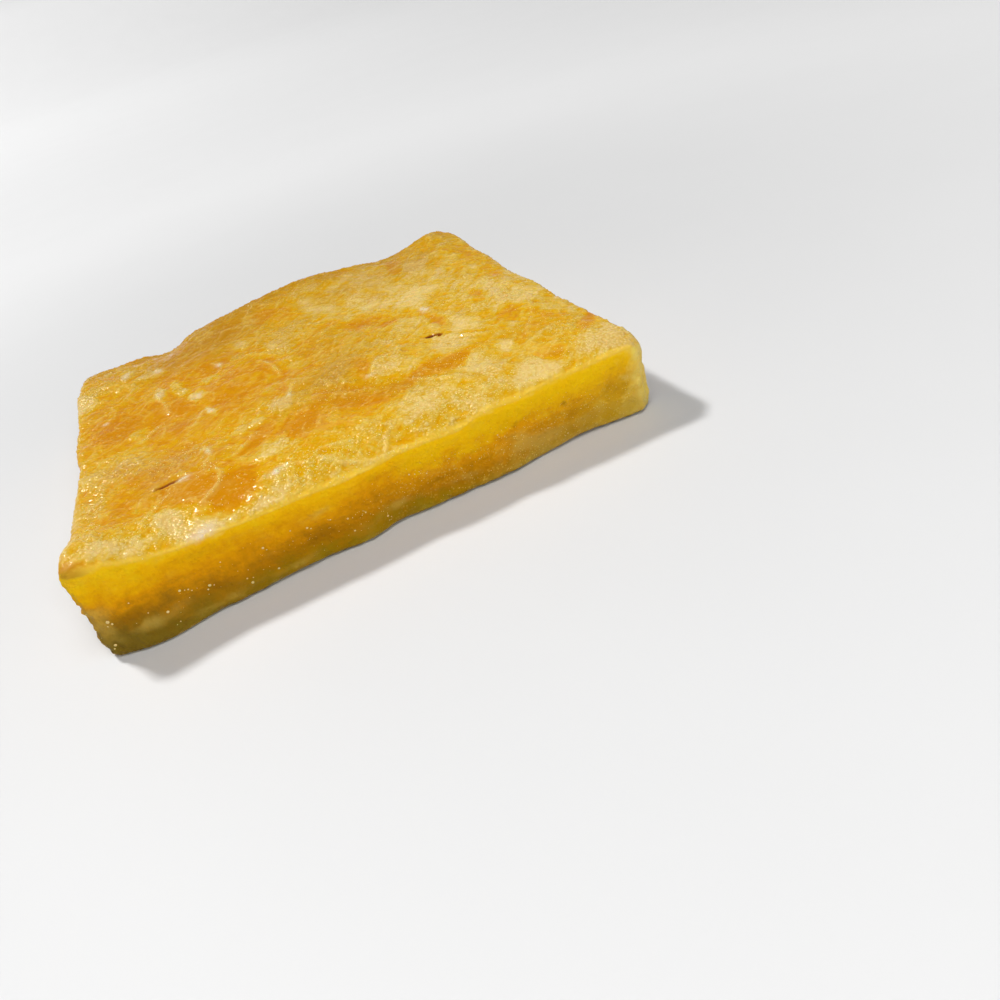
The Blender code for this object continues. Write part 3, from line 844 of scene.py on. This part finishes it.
def strewn(name, pattern, material, found):
    """One piece of many copies of a small pattern, each set on the slab at (place, facing, size)."""
    shape = np.empty(len(pattern.data.vertices) * 3)
    pattern.data.vertices.foreach_get("co", shape)
    shape = shape.reshape(-1, 3)
    faces = [tuple(polygon.vertices) for polygon in pattern.data.polygons]
    all_places, all_faces = [], []
    for place, facing, size in found:
        turn = np.array(facing.to_track_quat("Z", "Y").to_matrix())
        centre = np.array(place - facing * SUNK_SHARE * size[0])
        first = len(all_places) * len(shape)
        all_faces += [tuple(first + corner for corner in face) for face in faces]
        all_places.append(centre + (shape * size) @ turn.T)
    mesh = bpy.data.meshes.new(name)
    mesh.from_pydata(np.concatenate(all_places).tolist(), [], all_faces)
    mesh.shade_smooth()
    mesh.materials.append(material)
    piece = bpy.data.objects.new(name, mesh)
    bpy.context.scene.collection.objects.link(piece)
    bpy.data.objects.remove(pattern)
    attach(piece, "root")


bead_finish = new_finish(
    "clear_juice",
    Base_Color=(0.86, 0.62, 0.24, 1.0),
    Subsurface_Weight=0.5,
    Subsurface_Scale=0.0005,
    IOR=1.50,
    Roughness=0.08,
)[0]
beads = []
for at_x, at_z, radius in BEADS:
    place, facing = on_slab((at_x, -ASIDE, at_z), BACKWARDS)
    beads.append((place, facing, np.array(BEAD_SHAPE) * radius * MM))
bpy.ops.mesh.primitive_uv_sphere_add(segments=BEAD_SEGMENTS, ring_count=BEAD_RINGS, radius=1.0)
strewn("juice_beads", bpy.context.active_object, bead_finish, beads)


# The sugar grains
# Sugar has come out of the pulp and dried pale on the skin, the cut and, most of all, the older
# sides. It lies there as rounded crystals of a tenth to a third of a millimetre, mostly sunk in.

# Places on the top in millimetres: (x, y, spread, spread across, turn in degrees, how many)
GRAIN_PATCHES = (
    (-29.9, -31.4, 0.8, 0.7, 0, 20), (-15.2, -41.9, 1.7, 0.7, 10, 40), (-28.8, -48.4, 2.4, 1.0, 20, 40),
    (-31.0, 29.6, 0.9, 1.4, 0, 12), (-38.2, 34.5, 0.6, 1.8, 0, 10), (-22.5, -4.4, 0.4, 1.5, 12, 12),
    (26.0, 0.9, 0.5, 1.0, 0, 24), (-31.2, 13.0, 0.5, 1.3, 0, 8), (7.4, -21.8, 0.5, 0.7, 30, 12),
    (-43.4, 9.8, 0.5, 0.5, 0, 6), (-24.9, -24.2, 0.4, 1.3, 10, 10), (-7.4, -15.8, 0.5, 0.6, 0, 8),
    (-36.0, -44.0, 8.0, 4.0, 0, 260), (-8.0, -44.0, 9.0, 4.0, 0, 420), (20.0, -45.0, 17.0, 4.0, 0, 640),
    (24.0, -32.0, 14.0, 8.0, 0, 520), (42.0, -38.0, 5.0, 9.0, 0, 280),
    (-30.0, -20.0, 10.0, 5.0, 0, 160), (-26.0, -30.0, 3.0, 10.0, 10, 90),
    (0.0, -24.0, 8.0, 6.0, 0, 150), (30.0, 0.0, 18.0, 14.0, 0, 380), (-46.0, -34.0, 3.0, 12.0, 0, 120),
    (42.0, -8.0, 6.0, 10.0, 0, 180),
)
# Places on the front cut in the same way: (x, z, spread, spread up, how many)
CUT_GRAIN_PATCHES = (
    (-38.0, 5.0, 9.0, 3.0, 10), (-20.0, 5.0, 12.0, 2.6, 45), (4.0, 6.0, 12.0, 3.0, 170),
    (24.0, 6.0, 10.0, 3.4, 230), (39.0, 5.0, 7.0, 3.4, 130), (20.0, 1.4, 30.0, 1.0, 90),
)
# The older sides are sandy all over: (x and y of the way out of the side, how many)
SANDY_SIDES = ((1, 0, 900), (0, 1, 900), (-1, 0, 900))
SANDY_HALF_LENGTH = 49
SANDY_HEIGHTS = (0.8, 14.0)
# Radii in millimetres, least and most; a grain is narrower and lower than it is long
GRAIN_SIZES = (0.06, 0.15)
CREASE_GRAIN_SIZES = (0.07, 0.16)
SIDE_GRAIN_SIZES = (0.06, 0.16)
CUT_GRAIN_SHRINK = 0.70
GRAIN_WIDTHS = (0.7, 1.0)
LOW_GRAINS = (0.35, 0.6)
TALL_GRAINS = (0.4, 0.7)
# Grains for each millimetre of a crease, and how far they stray from it
CREASE_GRAINS = 2.2
CREASE_STRAY = 0.25
# A patch's grains lie this share of its spread from its middle, as a standard deviation
SPREAD_SHARE = 0.6
# Grains keep clear of the front cut's foot and of the skin above it
LOWEST_CUT_GRAIN = 0.6 * MM
HIGHEST_CUT_GRAIN = 12.0 * MM
# How far up or out the slab has to face where a grain of the top, front cut or another side lies
TOP_FACING = 0.5
CUT_FACING = -0.6
SIDE_FACING = 0.4
# Lines that look for the top start at this height in millimetres
ABOVE = 40.0
DOWN = (0.0, 0.0, -1.0)

draw = random.Random(7)
grain_finish = new_finish(
    "sugar_crystal",
    Base_Color=(0.98, 0.76, 0.28, 1.0),
    Subsurface_Weight=0.6,
    Subsurface_Scale=0.0004,
    IOR=1.45,
    Roughness=0.18,
)[0]


def grain_shape(heights):
    """Length, width and height of one grain, as shares of its length."""
    return np.array((1.0, draw.uniform(*GRAIN_WIDTHS), draw.uniform(*heights)))


grains_found = []
for at_x, at_y, spread, spread_across, turn, how_many in GRAIN_PATCHES:
    for number in range(how_many):
        far_along = draw.gauss(0, spread * SPREAD_SHARE)
        far_across = draw.gauss(0, spread_across * SPREAD_SHARE)
        offset = Vector((far_along, far_across, 0.0))
        offset.rotate(Euler((0.0, 0.0, math.radians(turn))))
        place, facing = on_slab(Vector((at_x, at_y, ABOVE)) + offset, DOWN)
        size = grain_shape(LOW_GRAINS) * draw.uniform(*GRAIN_SIZES) * MM
        if place is not None and facing.z > TOP_FACING:
            grains_found.append((place, facing, size))
# More hang along the raised creases
for crease, _ in CREASES:
    for (x0, y0), (x1, y1) in zip(crease, crease[1:]):
        for number in range(round(CREASE_GRAINS * math.hypot(x1 - x0, y1 - y0))):
            share = draw.random()
            at_x = x0 + share * (x1 - x0) + draw.gauss(0, CREASE_STRAY)
            at_y = y0 + share * (y1 - y0) + draw.gauss(0, CREASE_STRAY)
            place, facing = on_slab((at_x, at_y, ABOVE), DOWN)
            size = grain_shape(TALL_GRAINS) * draw.uniform(*CREASE_GRAIN_SIZES) * MM
            grains_found.append((place, facing, size))
for at_x, at_z, spread, spread_up, how_many in CUT_GRAIN_PATCHES:
    for number in range(how_many):
        near_x = draw.gauss(at_x, spread * SPREAD_SHARE)
        near_z = draw.gauss(at_z, spread_up * SPREAD_SHARE)
        place, facing = on_slab((near_x, -ASIDE, near_z), BACKWARDS)
        size = grain_shape(LOW_GRAINS) * draw.uniform(*GRAIN_SIZES) * CUT_GRAIN_SHRINK * MM
        if place is None or facing.y >= CUT_FACING:
            continue
        if LOWEST_CUT_GRAIN < place.z < HIGHEST_CUT_GRAIN:
            grains_found.append((place, facing, size))
for out_x, out_y, how_many in SANDY_SIDES:
    for number in range(how_many):
        along_side = draw.uniform(-SANDY_HALF_LENGTH, SANDY_HALF_LENGTH)
        start_x = ASIDE * out_x + along_side * out_y
        start_y = ASIDE * out_y + along_side * out_x
        place, facing = on_slab((start_x, start_y, draw.uniform(*SANDY_HEIGHTS)), (-out_x, -out_y, 0.0))
        shape = grain_shape(LOW_GRAINS)
        if place is not None and facing.z < SIDE_FACING:
            grains_found.append((place, facing, shape * draw.uniform(*SIDE_GRAIN_SIZES) * MM))
bpy.ops.mesh.primitive_ico_sphere_add(subdivisions=1, radius=1.0)
strewn("sugar_grains", bpy.context.active_object, grain_finish, grains_found)
